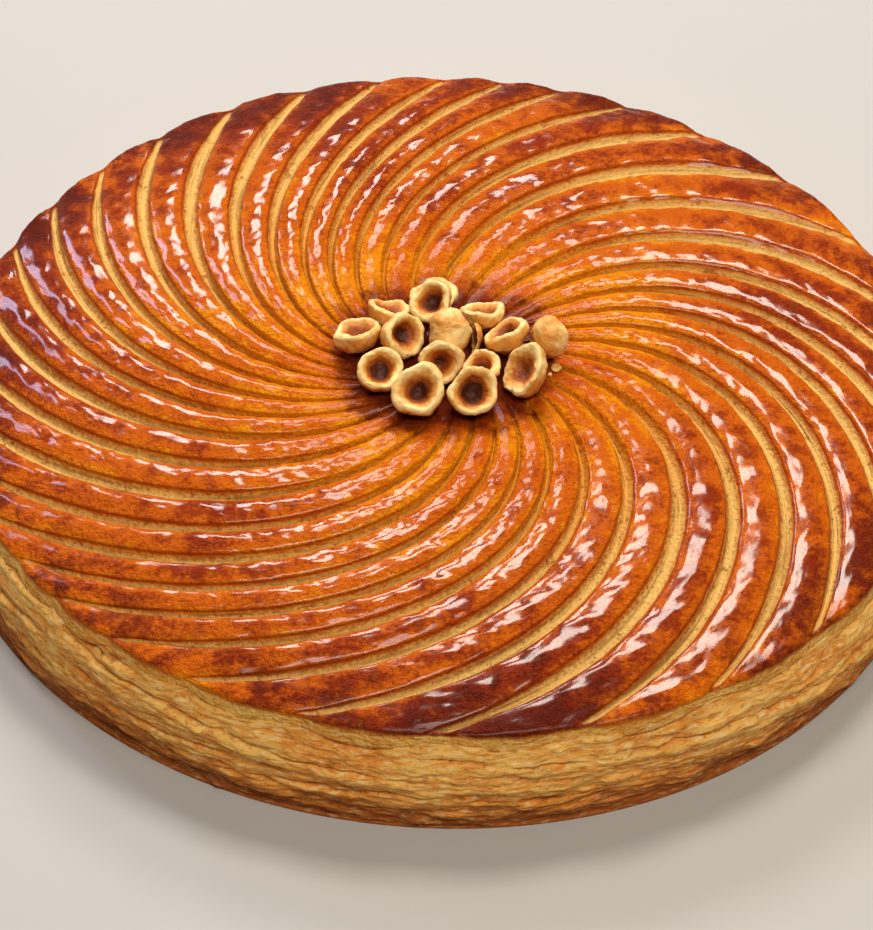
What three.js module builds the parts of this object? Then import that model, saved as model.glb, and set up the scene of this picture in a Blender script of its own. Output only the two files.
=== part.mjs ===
// Galette des rois: a round puff pastry cake with a spirally scored, egg-glazed top
// and a small heap of roasted hazelnut halves in its middle.
// Millimetres, +Z up. The photo looks from the -Y side, with +X to its right.
import * as THREE from 'three';

const DEGREE = Math.PI / 180;
const FULL_TURN = 2 * Math.PI;

// Overall form
const glazeRadius = 125;
const rimHeight = 28.4;
const centreHeight = 36.3;
const domePower = 4;
const domeUnevenness = 0.7;
const swellWaves = { double: 0.6, triple: -1.1, tripleShare: 0.7, twist: 2 };
const baseShift = { x: -1.9, y: -1.7 };

// The outline is a little out of round: size is a part of the radius, phase is in degrees
const outlineWaves = [
  { order: 2, size: 0.0117, phase: -45 },
  { order: 3, size: 0.0033, phase: -126 },
];

// The cut side bulges a little under the glaze and is built of flaky layers
const sideRowCount = 11;
const bulgeHeight = 15.5;
const bulgeReach = 1.04;
const baseReach = 1.026;
const layerStep = 0.55;
const flakeStep = 0.3;
const layerWander = 0.8;

// Spiral scoring
const grooveCount = 32;
const grooveDepth = 2.6;
const scoreStart = 0.08;
const scoreFull = 0.45;
const rimReliefShare = 0.55;
const rimReliefStart = 0.86;
const ridgeUnevenness = 0.18;
const ridgeSeed = 7;
const spiralShiftY = -3.7;
const topRings = [0.07, 0.14, 0.21, 0.28, 0.36, 0.44, 0.52, 0.6, 0.68, 0.76, 0.84, 0.91, 0.965, 1];

// Across one groove and its ridge: place in the pitch, height as a part of the groove's depth
const reliefSteps = [
  { place: -0.12, height: -0.56 },
  { place: 0.12, height: -0.6 },
  { place: 0.23, height: 0.1 },
  { place: 0.41, height: 0.38 },
  { place: 0.6, height: 0.4 },
  { place: 0.77, height: 0.08 },
];

// How far the grooves have turned on three rings, in degrees, and how they crowd and spread there
const swirlRings = [
  { radius: 0.35, turn: 60.5, waves: [{ order: 1, size: 3.3, phase: 52 }, { order: 2, size: 4.3, phase: 170 }] },
  { radius: 0.65, turn: 34.3, waves: [{ order: 1, size: 6.4, phase: 27 }, { order: 2, size: 1.3, phase: -52 }] },
  { radius: 0.95, turn: 7, waves: [{ order: 1, size: 13.4, phase: 55 }, { order: 2, size: 3.4, phase: 14 }] },
];
const spacingWaves = [
  { order: 3, size: 1.5, phase: 169 },
  { order: 4, size: 2.1, phase: 141 },
];

// Hazelnut halves: plan place, width, the way the hollow faces in degrees round and up,
// and how far each is lifted where it leans on its neighbours
const restGap = 0.3;
const nutSides = 14;
const firstNutSeed = 11;
const nutOutlineWave = 0.055;
const nutRimWaves = [{ order: 2, size: 0.05 }, { order: 3, size: 0.03 }];
const nutRimStart = 0.2;
const nutShape = { back: 0.92, hollow: 0.5, dig: 0.42, lift: 0 };
const hazelnuts = [
  { name: 'back_far', x: -3.6, y: 16.4, width: 13, around: 255, up: 80, hollow: 0.6, back: 0.45, dig: 0.3 },
  { name: 'back_left', x: -15.1, y: 8.7, width: 11.5, around: 60, up: 64 },
  { name: 'back_right', x: 9.2, y: 8.3, width: 12, around: 100, up: 66 },
  { name: 'back', x: -4.3, y: 8.1, width: 11.5, around: 235, up: 55, lift: 3.4 },
  { name: 'right_far', x: 26.3, y: -1.3, width: 11, around: 60, up: -25 },
  { name: 'left_middle', x: -10.8, y: -3.3, width: 12.6, around: 325, up: 34, lift: 1 },
  { name: 'dome', x: 0.8, y: -1.7, width: 12, around: 70, up: -48, lift: 2.6 },
  { name: 'right', x: 14.8, y: -1.3, width: 12, around: 150, up: 58, lift: 1.2 },
  { name: 'sliver', x: 7.3, y: -1.6, width: 8.4, around: 185, up: 8, lift: 1, hollow: 0.7, back: 0.45 },
  { name: 'under', x: 8.8, y: -11.3, width: 10, around: 255, up: 75 },
  { name: 'middle', x: -1.4, y: -13.1, width: 11.5, around: 268, up: 34, lift: 1.2 },
  { name: 'left', x: -23.2, y: -1.3, width: 12.6, around: 120, up: 72 },
  { name: 'right_front', x: 19.5, y: -14.8, width: 13.6, around: 205, up: 42, hollow: 0.72, dig: 0.16 },
  { name: 'front_left', x: -16.5, y: -14.8, width: 12, around: 290, up: 62 },
  { name: 'front', x: -7.0, y: -23.3, width: 13.8, around: 262, up: 60 },
  { name: 'front_right', x: 6.9, y: -22.5, width: 13, around: 284, up: 56, hollow: 0.6, dig: 0.5 },
];

const glazedCrust = new THREE.MeshStandardMaterial({ color: 0xb4601c, roughness: 0.25, metalness: 0 });
const roastedNut = new THREE.MeshStandardMaterial({ color: 0xe2b67a, roughness: 0.6, metalness: 0 });

// A small seeded generator, so that every build is the same
function seededRandom(seed) {
  let state = seed;
  return () => {
    state = (Math.imul(state, 1664525) + 1013904223) >>> 0;
    return state / 4294967296;
  };
}

function waveSum(waves, angle) {
  return waves.reduce((sum, w) => sum + w.size * Math.cos(w.order * angle - w.phase * DEGREE), 0);
}

function smoothStep(from, to, value) {
  const t = Math.min(1, Math.max(0, (value - from) / (to - from)));
  return t * t * (3 - 2 * t);
}

// The direction of groove number u (whole numbers are groove middles) at a part r of the glaze radius
function grooveAngle(u, r) {
  const [inner, middle, rim] = swirlRings.map((ring) => ring.radius);
  const shares = [
    ((r - middle) * (r - rim)) / ((inner - middle) * (inner - rim)),
    ((r - inner) * (r - rim)) / ((middle - inner) * (middle - rim)),
    ((r - inner) * (r - middle)) / ((rim - inner) * (rim - middle)),
  ];
  const order = (u / grooveCount) * FULL_TURN;
  const turn = swirlRings.reduce((sum, ring, i) => {
    return sum + shares[i] * (ring.turn + waveSum(ring.waves, order));
  }, 0);
  return order + (turn + waveSum(spacingWaves, order)) * DEGREE;
}

function domeHeight(r) {
  return rimHeight + (centreHeight - rimHeight) * (1 - r ** domePower);
}

// Slow swells of the baked lid, fading out at the rim
function swell(angle, r) {
  const { double, triple, tripleShare, twist } = swellWaves;
  const wave = Math.sin(2 * angle + double) + tripleShare * Math.sin(3 * angle + triple + twist * r);
  return domeUnevenness * wave * r * (1 - r);
}

function ridgeShare(r) {
  const start = smoothStep(scoreStart, scoreFull, r);
  const end = 1 - (1 - rimReliefShare) * smoothStep(rimReliefStart, 1, r);
  return start * end;
}

function outlineAt(angle, r) {
  return 1 + waveSum(outlineWaves, angle) * r * r;
}

// How far the side stands out at a height, as a part of the glaze radius
function sideReach(height) {
  if (height > bulgeHeight) {
    const down = (rimHeight - height) / (rimHeight - bulgeHeight);
    return 1 + (bulgeReach - 1) * Math.sin((down * Math.PI) / 2);
  }
  return baseReach + (bulgeReach - baseReach) * smoothStep(0, 1, height / bulgeHeight);
}

// Layers stand out and draw back in turn, and run out and start again round the side
function layerOffset(row, angle) {
  const side = row % 2 === 0 ? 1 : -1;
  const strength = 0.55 + 0.45 * Math.cos(angle * 3 + row * 1.9) * Math.cos(angle * 5 - row * 2.3);
  return layerStep * side * strength;
}

function buildGalette() {
  const random = seededRandom(ridgeSeed);
  const columns = [];
  for (let groove = 0; groove < grooveCount; groove += 1) {
    const ridgeSize = 1 + ridgeUnevenness * (2 * random() - 1);
    reliefSteps.forEach((step) => columns.push({ u: groove + step.place, relief: step.height * ridgeSize }));
  }
  const count = columns.length;
  const points = [new THREE.Vector3(0, spiralShiftY, domeHeight(0))];

  topRings.forEach((r) => {
    columns.forEach((column) => {
      const angle = grooveAngle(column.u, r);
      const reach = glazeRadius * r * outlineAt(angle, r);
      const z = domeHeight(r) + swell(angle, r) + column.relief * grooveDepth * ridgeShare(r);
      points.push(new THREE.Vector3(
        reach * Math.cos(angle),
        reach * Math.sin(angle) + spiralShiftY * (1 - r),
        z,
      ));
    });
  });

  for (let row = 1; row <= sideRowCount; row += 1) {
    const height = rimHeight * (1 - row / sideRowCount);
    const isBase = row === sideRowCount;
    columns.forEach((column) => {
      const angle = grooveAngle(column.u, 1);
      const wander = isBase ? 0 : layerWander * Math.sin(angle * 4 + row * 0.8);
      const reach = glazeRadius * sideReach(height) * outlineAt(angle, 1) + layerOffset(row, angle)
        + flakeStep * (2 * random() - 1);
      const down = row / sideRowCount;
      points.push(new THREE.Vector3(
        reach * Math.cos(angle) + baseShift.x * down,
        reach * Math.sin(angle) + baseShift.y * down,
        height + wander,
      ));
    });
  }
  points.push(new THREE.Vector3(baseShift.x, baseShift.y, 0));

  const rings = topRings.length + sideRowCount;
  const last = points.length - 1;
  const faces = [];
  const vertex = (ring, column) => 1 + ring * count + (column % count);
  for (let column = 0; column < count; column += 1) {
    faces.push(0, vertex(0, column), vertex(0, column + 1));
    for (let ring = 0; ring < rings - 1; ring += 1) {
      faces.push(vertex(ring, column), vertex(ring + 1, column), vertex(ring + 1, column + 1));
      faces.push(vertex(ring, column), vertex(ring + 1, column + 1), vertex(ring, column + 1));
    }
    faces.push(last, vertex(rings - 1, column + 1), vertex(rings - 1, column));
  }
  return closedGeometry(points, faces);
}

function closedGeometry(points, faces) {
  const geometry = new THREE.BufferGeometry().setFromPoints(points);
  geometry.setIndex(faces);
  geometry.computeVertexNormals();
  return geometry;
}

// Rings of a half nut's skin in its own frame, hollow up: rounded back, rolled rim, hollow
function nutProfile(nut) {
  const radius = nut.width / 2;
  const back = radius * nut.back;
  const lip = radius * (1 - nut.hollow) / 2;
  const middle = radius - lip;
  const rings = [];
  [-62, -36, -14].forEach((a) => {
    rings.push({ r: radius * Math.cos(a * DEGREE), z: back * Math.sin(a * DEGREE) });
  });
  [0, 60, 120, 175].forEach((a) => {
    rings.push({ r: middle + lip * Math.cos(a * DEGREE), z: lip * Math.sin(a * DEGREE) });
  });
  [30, 62].forEach((a) => {
    rings.push({ r: radius * nut.hollow * Math.cos(a * DEGREE), z: -back * nut.dig * Math.sin(a * DEGREE) });
  });
  return { rings, bottom: -back, floor: -back * nut.dig };
}

function buildNut(nut, seed) {
  const random = seededRandom(seed);
  const wave = [2, 3, 5].map((order) => {
    return { order, size: nutOutlineWave / Math.sqrt(order - 1), phase: 360 * random() };
  });
  const rimWave = nutRimWaves.map((w) => ({ ...w, phase: 360 * random() }));
  const profile = nutProfile(nut);
  const radius = nut.width / 2;
  const points = [new THREE.Vector3(0, 0, profile.bottom)];
  profile.rings.forEach((ring) => {
    for (let side = 0; side < nutSides; side += 1) {
      const angle = (side / nutSides) * FULL_TURN;
      const reach = ring.r * (1 + waveSum(wave, angle));
      const rimShare = smoothStep(-profile.bottom * nutRimStart, radius, ring.r + ring.z);
      const lift = radius * waveSum(rimWave, angle) * rimShare;
      points.push(new THREE.Vector3(reach * Math.cos(angle), reach * Math.sin(angle), ring.z + lift));
    }
  });
  points.push(new THREE.Vector3(0, 0, profile.floor));

  const faces = [];
  const last = points.length - 1;
  const vertex = (ring, side) => 1 + ring * nutSides + (side % nutSides);
  for (let side = 0; side < nutSides; side += 1) {
    faces.push(0, vertex(0, side + 1), vertex(0, side));
    for (let ring = 0; ring < profile.rings.length - 1; ring += 1) {
      faces.push(vertex(ring, side), vertex(ring + 1, side + 1), vertex(ring + 1, side));
      faces.push(vertex(ring, side), vertex(ring, side + 1), vertex(ring + 1, side + 1));
    }
    faces.push(last, vertex(profile.rings.length - 1, side), vertex(profile.rings.length - 1, side + 1));
  }
  return closedGeometry(points, faces);
}

// The height of the cake's skin where a nut may rest, ridge crests included
function restHeight(x, y) {
  const r = Math.hypot(x, y - spiralShiftY) / glazeRadius;
  const crest = Math.max(...reliefSteps.map((step) => step.height));
  return domeHeight(r) + grooveDepth * crest * ridgeShare(r);
}

function placeNut(mesh, nut) {
  const around = nut.around * DEGREE;
  const up = nut.up * DEGREE;
  const facing = new THREE.Vector3(Math.cos(around) * Math.cos(up), Math.sin(around) * Math.cos(up), Math.sin(up));
  const turn = new THREE.Quaternion().setFromUnitVectors(new THREE.Vector3(0, 0, 1), facing);
  mesh.geometry.applyQuaternion(turn);
  const skin = mesh.geometry.attributes.position;
  let z = 0;
  for (let i = 0; i < skin.count; i += 1) {
    z = Math.max(z, restHeight(nut.x + skin.getX(i), nut.y + skin.getY(i)) - skin.getZ(i));
  }
  mesh.position.set(nut.x, nut.y, z + restGap + nut.lift);
}

const group = new THREE.Group();
const galette = new THREE.Mesh(buildGalette(), glazedCrust);
galette.name = 'galette';
group.add(galette);

hazelnuts.forEach((place, i) => {
  const nut = { ...nutShape, ...place };
  const mesh = new THREE.Mesh(buildNut(nut, firstNutSeed + i), roastedNut);
  mesh.name = `hazelnut_${nut.name}`;
  placeNut(mesh, nut);
  group.add(mesh);
});

// The origin is the middle of the base: the cake's own box is centred on it
galette.geometry.computeBoundingBox();
const middle = galette.geometry.boundingBox.getCenter(new THREE.Vector3());
group.position.set(-middle.x, -middle.y, 0);

export default group;
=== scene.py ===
import math

import bmesh
import bpy
from mathutils import Matrix, Vector, noise as lumpNoise


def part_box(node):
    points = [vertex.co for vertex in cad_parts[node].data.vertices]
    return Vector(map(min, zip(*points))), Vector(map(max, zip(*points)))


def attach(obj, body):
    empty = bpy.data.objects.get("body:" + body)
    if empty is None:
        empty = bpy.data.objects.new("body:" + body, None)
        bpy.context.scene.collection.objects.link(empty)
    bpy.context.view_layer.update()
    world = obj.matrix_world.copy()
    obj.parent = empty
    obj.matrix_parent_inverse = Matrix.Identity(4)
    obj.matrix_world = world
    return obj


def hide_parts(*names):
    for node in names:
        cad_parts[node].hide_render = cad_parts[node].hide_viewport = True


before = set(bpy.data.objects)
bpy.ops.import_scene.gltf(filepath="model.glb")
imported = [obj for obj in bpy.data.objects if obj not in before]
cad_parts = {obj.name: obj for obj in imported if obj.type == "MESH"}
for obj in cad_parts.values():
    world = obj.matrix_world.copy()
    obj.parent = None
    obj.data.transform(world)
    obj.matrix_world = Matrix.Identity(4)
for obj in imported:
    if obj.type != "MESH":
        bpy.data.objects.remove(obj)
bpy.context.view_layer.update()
print("frame loaded,", len(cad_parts), "solids")
fullTurn = 2 * math.pi
mm = 0.001
touching = 0.001 * mm  # points nearer than this become one


# Wires: a socket that can be calculated with, in geometry and shader trees alike

class Wire:
    def __init__(self, tree, socket):
        self.tree = tree
        self.socket = socket

    def __add__(self, other):
        return calc(self.tree, "ADD", self, other)

    def __radd__(self, other):
        return calc(self.tree, "ADD", other, self)

    def __sub__(self, other):
        return calc(self.tree, "SUBTRACT", self, other)

    def __rsub__(self, other):
        return calc(self.tree, "SUBTRACT", other, self)

    def __mul__(self, other):
        return calc(self.tree, "MULTIPLY", self, other)

    def __rmul__(self, other):
        return calc(self.tree, "MULTIPLY", other, self)

    def __truediv__(self, other):
        return calc(self.tree, "DIVIDE", self, other)

    def __pow__(self, other):
        return calc(self.tree, "POWER", self, other)


def plug(tree, socket, value):
    if isinstance(value, Wire):
        tree.links.new(value.socket, socket)
    elif value is not None:
        socket.default_value = value


def calc(tree, operation, *values):
    node = tree.nodes.new("ShaderNodeMath")
    node.operation = operation
    for place, value in enumerate(values):
        plug(tree, node.inputs[place], value)
    return Wire(tree, node.outputs[0])


def cosine(wire):
    return calc(wire.tree, "COSINE", wire)


def sine(wire):
    return calc(wire.tree, "SINE", wire)


def clamp01(wire):
    node = wire.tree.nodes.new("ShaderNodeClamp")
    plug(wire.tree, node.inputs[0], wire)
    return Wire(wire.tree, node.outputs[0])


def remap(wire, low, high, newLow=0.0, newHigh=1.0):
    node = wire.tree.nodes.new("ShaderNodeMapRange")
    node.interpolation_type = "SMOOTHSTEP"
    for place, value in enumerate((wire, low, high, newLow, newHigh)):
        plug(wire.tree, node.inputs[place], value)
    return Wire(wire.tree, node.outputs[0])


def mix(low, high, share):
    return low + (high - low) * share


def joinXyz(tree, x, y, z):
    node = tree.nodes.new("ShaderNodeCombineXYZ")
    for place, value in enumerate((x, y, z)):
        plug(tree, node.inputs[place], value)
    return Wire(tree, node.outputs[0])


def splitXyz(wire):
    node = wire.tree.nodes.new("ShaderNodeSeparateXYZ")
    plug(wire.tree, node.inputs[0], wire)
    return [Wire(wire.tree, output) for output in node.outputs]


def noise(tree, place, scale, detail=2.0, roughness=0.5, distortion=0.0):
    node = tree.nodes.new("ShaderNodeTexNoise")
    plug(tree, node.inputs["Vector"], place)
    plug(tree, node.inputs["Scale"], scale)
    node.inputs["Detail"].default_value = detail
    node.inputs["Roughness"].default_value = roughness
    node.inputs["Distortion"].default_value = distortion
    return Wire(tree, node.outputs[0])


def whiteNoise(tree, number):
    node = tree.nodes.new("ShaderNodeTexWhiteNoise")
    node.noise_dimensions = "1D"
    plug(tree, node.inputs["W"], number)
    return Wire(tree, node.outputs[0])


def waveSum(waves, angle):
    # each wave has its number of periods round the cake, its size and its phase in degrees
    total = 0.0
    for order, size, phase in waves:
        total = total + size * cosine(angle * float(order) - math.radians(phase))
    return total


# Geometry trees

def newTree(name, inputs):
    tree = bpy.data.node_groups.new(name, "GeometryNodeTree")
    tree.interface.new_socket("Geometry", in_out="INPUT", socket_type="NodeSocketGeometry")
    tree.interface.new_socket("Geometry", in_out="OUTPUT", socket_type="NodeSocketGeometry")
    for label, value in inputs.items():
        socket = tree.interface.new_socket(label, in_out="INPUT", socket_type="NodeSocketFloat")
        socket.default_value = value
    groupInput = tree.nodes.new("NodeGroupInput")
    given = {label: Wire(tree, groupInput.outputs[label]) for label in inputs}
    return tree, given


def addGrid(tree, columns, rows):
    # a sheet to be bent: s runs from 0 to 1 along its columns, row from 0 to the number of rows
    node = tree.nodes.new("GeometryNodeMeshGrid")
    node.inputs["Size X"].default_value = 1.0
    node.inputs["Size Y"].default_value = 1.0
    node.inputs["Vertices X"].default_value = columns + 1
    node.inputs["Vertices Y"].default_value = rows + 1
    position = Wire(tree, tree.nodes.new("GeometryNodeInputPosition").outputs[0])
    x, y, _ = splitXyz(position)
    return Wire(tree, node.outputs["Mesh"]), x + 0.5, (y + 0.5) * float(rows)


def store(geometry, name, value):
    node = geometry.tree.nodes.new("GeometryNodeStoreNamedAttribute")
    node.data_type = "FLOAT"
    node.domain = "POINT"
    node.inputs["Name"].default_value = name
    plug(geometry.tree, node.inputs["Geometry"], geometry)
    plug(geometry.tree, node.inputs["Value"], value)
    return Wire(geometry.tree, node.outputs[0])


def read(tree, name):
    node = tree.nodes.new("GeometryNodeInputNamedAttribute")
    node.data_type = "FLOAT"
    node.inputs["Name"].default_value = name
    return Wire(tree, node.outputs[0])


def setPosition(geometry, position=None, offset=None):
    node = geometry.tree.nodes.new("GeometryNodeSetPosition")
    plug(geometry.tree, node.inputs["Geometry"], geometry)
    plug(geometry.tree, node.inputs["Position"], position)
    plug(geometry.tree, node.inputs["Offset"], offset)
    return Wire(geometry.tree, node.outputs[0])


def pushOut(geometry, distance):
    tree = geometry.tree
    normal = tree.nodes.new("GeometryNodeInputNormal")
    scaled = tree.nodes.new("ShaderNodeVectorMath")
    scaled.operation = "SCALE"
    tree.links.new(normal.outputs[0], scaled.inputs[0])
    plug(tree, scaled.inputs["Scale"], distance)
    return setPosition(geometry, offset=Wire(tree, scaled.outputs[0]))


def mergeClose(geometry):
    # closes the seam and the poles, where the sheet's edges meet
    node = geometry.tree.nodes.new("GeometryNodeMergeByDistance")
    plug(geometry.tree, node.inputs["Geometry"], geometry)
    node.inputs["Distance"].default_value = touching
    return Wire(geometry.tree, node.outputs[0])


def flipFaces(geometry):
    # a sheet bent from the top down has its faces inward
    node = geometry.tree.nodes.new("GeometryNodeFlipFaces")
    plug(geometry.tree, node.inputs["Mesh"], geometry)
    return Wire(geometry.tree, node.outputs[0])


def endTree(geometry, material):
    tree = geometry.tree
    realize = tree.nodes.new("GeometryNodeRealizeInstances")
    plug(tree, realize.inputs[0], geometry)
    smooth = tree.nodes.new("GeometryNodeSetShadeSmooth")
    tree.links.new(realize.outputs[0], smooth.inputs["Geometry"])
    paint = tree.nodes.new("GeometryNodeSetMaterial")
    paint.inputs["Material"].default_value = material
    tree.links.new(smooth.outputs[0], paint.inputs["Geometry"])
    tree.links.new(paint.outputs[0], tree.nodes.new("NodeGroupOutput").inputs[0])


def growPiece(name, tree, values):
    # runs the tree once with these values for its inputs, and keeps its result as a plain mesh
    seedMesh = bpy.data.meshes.new(name + "_seed")
    blank = bpy.data.objects.new(name + "_seed", seedMesh)
    bpy.context.scene.collection.objects.link(blank)
    modifier = blank.modifiers.new("grow", "NODES")
    modifier.node_group = tree
    for item in tree.interface.items_tree:
        if item.in_out == "INPUT" and item.name in values:
            modifier[item.identifier] = float(values[item.name])
    bpy.context.view_layer.update()
    graph = bpy.context.evaluated_depsgraph_get()
    mesh = bpy.data.meshes.new_from_object(blank.evaluated_get(graph))
    mesh.name = name
    bpy.data.objects.remove(blank)
    bpy.data.meshes.remove(seedMesh)
    return addPiece(mesh)


def addPiece(mesh):
    piece = bpy.data.objects.new(mesh.name, mesh)
    bpy.context.scene.collection.objects.link(piece)
    print(piece.name, "made,", len(mesh.polygons), "faces")
    return piece


def boxMiddle(mesh):
    points = [vert.co for vert in mesh.vertices]
    return Vector([(min(p[k] for p in points) + max(p[k] for p in points)) / 2 for k in range(3)])


# The cake's measured form, shared by its lid and its side

# reaches are parts of the glaze radius, waves are (periods round the cake, size, phase in degrees)
cake = {
    "glazeRadius": 125 * mm,
    "rimHeight": 28.4 * mm,
    "centreHeight": 36.3 * mm,
    "domePower": 4.0,
    "domeUnevenness": 0.7 * mm,
    "spiralShiftY": -3.7 * mm,
    "outlineWaves": [(2, 0.0117, -45), (3, 0.0033, -126)],
    "bulgeHeight": 15.5 * mm,
    "bulgeReach": 1.04,
    "baseReach": 1.026,
    "baseShift": (-1.9 * mm, -1.7 * mm),
    "grooveCount": 32,
    # part of the glaze radius, turn of the grooves there in degrees, its waves
    "swirlRings": [
        (0.35, 60.5, [(1, 3.3, 52), (2, 4.3, 170)]),
        (0.65, 34.3, [(1, 6.4, 27), (2, 1.3, -52)]),
        (0.95, 7.0, [(1, 13.4, 55), (2, 3.4, 14)]),
    ],
    "spacingWaves": [(3, 1.5, 169), (4, 2.1, 141)],
}


def grooveAngle(u, r):
    # direction of groove number u at a part r of the glaze radius
    inner, middle, rim = [ring[0] for ring in cake["swirlRings"]]
    shares = [
        (r - middle) * (r - rim) / ((inner - middle) * (inner - rim)),
        (r - inner) * (r - rim) / ((middle - inner) * (middle - rim)),
        (r - inner) * (r - middle) / ((rim - inner) * (rim - middle)),
    ]
    order = u * (fullTurn / cake["grooveCount"])
    turn = waveSum(cake["spacingWaves"], order)
    for share, (_, ringTurn, waves) in zip(shares, cake["swirlRings"]):
        turn = turn + share * (waveSum(waves, order) + ringTurn)
    return order + turn * math.radians(1)


def outlineAt(angle, r):
    return 1.0 + waveSum(cake["outlineWaves"], angle) * (r * r)


def sideReach(height):
    # how far the side stands out at a height, as a part of the glaze radius
    down = clamp01((cake["rimHeight"] - height) / (cake["rimHeight"] - cake["bulgeHeight"]))
    above = 1.0 + (cake["bulgeReach"] - 1.0) * sine(down * (math.pi / 2))
    below = remap(height, 0.0, cake["bulgeHeight"], cake["baseReach"], cake["bulgeReach"])
    isLow = calc(height.tree, "LESS_THAN", height, cake["bulgeHeight"])
    return mix(above, below, isLow)


def domeHeight(r):
    rise = cake["centreHeight"] - cake["rimHeight"]
    return cake["rimHeight"] + rise * (1.0 - r ** cake["domePower"])


# The glazed, scored lid

lid = {
    "columnsPerGroove": 24,
    "crowding": 0.05,  # how much the columns crowd into the grooves
    "topRows": 117,
    "lipRows": 7,
    "grooveDepth": 3.1 * mm,
    # widths and walls of a groove, as parts of the way from groove to groove
    "innerWidth": 0.1,
    "outerWidth": 0.2,
    "widthWander": 0.05,
    "steepWall": 0.07,
    "slackWall": 0.12,
    # factors on that width: the narrowest groove, what the widest has more, the pinch at the rim
    "narrowest": 0.75,
    "widthSpread": 0.5,
    "rimPinch": 0.42,
    # heights of a groove's floor, its walls and a ridge's crown, as parts of the groove's depth,
    # and factors on the crown: the lowest ridge, and what the highest has more
    "floorLevel": -0.58,
    "wallRise": 0.66,
    "crownRise": 0.34,
    "lowestRidge": 0.85,
    "ridgeSpread": 0.3,
    # where scoring starts, is full, and gets shallow again, as parts of the glaze radius
    "scoreStart": 0.08,
    "scoreFull": 0.45,
    "rimStart": 0.86,
    "rimShare": 0.6,
    "lipDepth": 3.2 * mm,
    "lipProud": 0.35 * mm,
    "lipCalm": 0.6,  # how much of the relief the lip loses
    "tuckDepth": 2.6 * mm,
    "noseReach": 0.7 * mm,
    "lump": 0.55 * mm,
    "wrinkle": 0.42 * mm,
    "striation": 0.3 * mm,
    "speck": 0.24 * mm,
    # scales of the noise round the rim and on the surface
    "ringScale": 9.0,
    "lumpScale": 130.0,
    "speckScale": 420.0,
}


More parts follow.
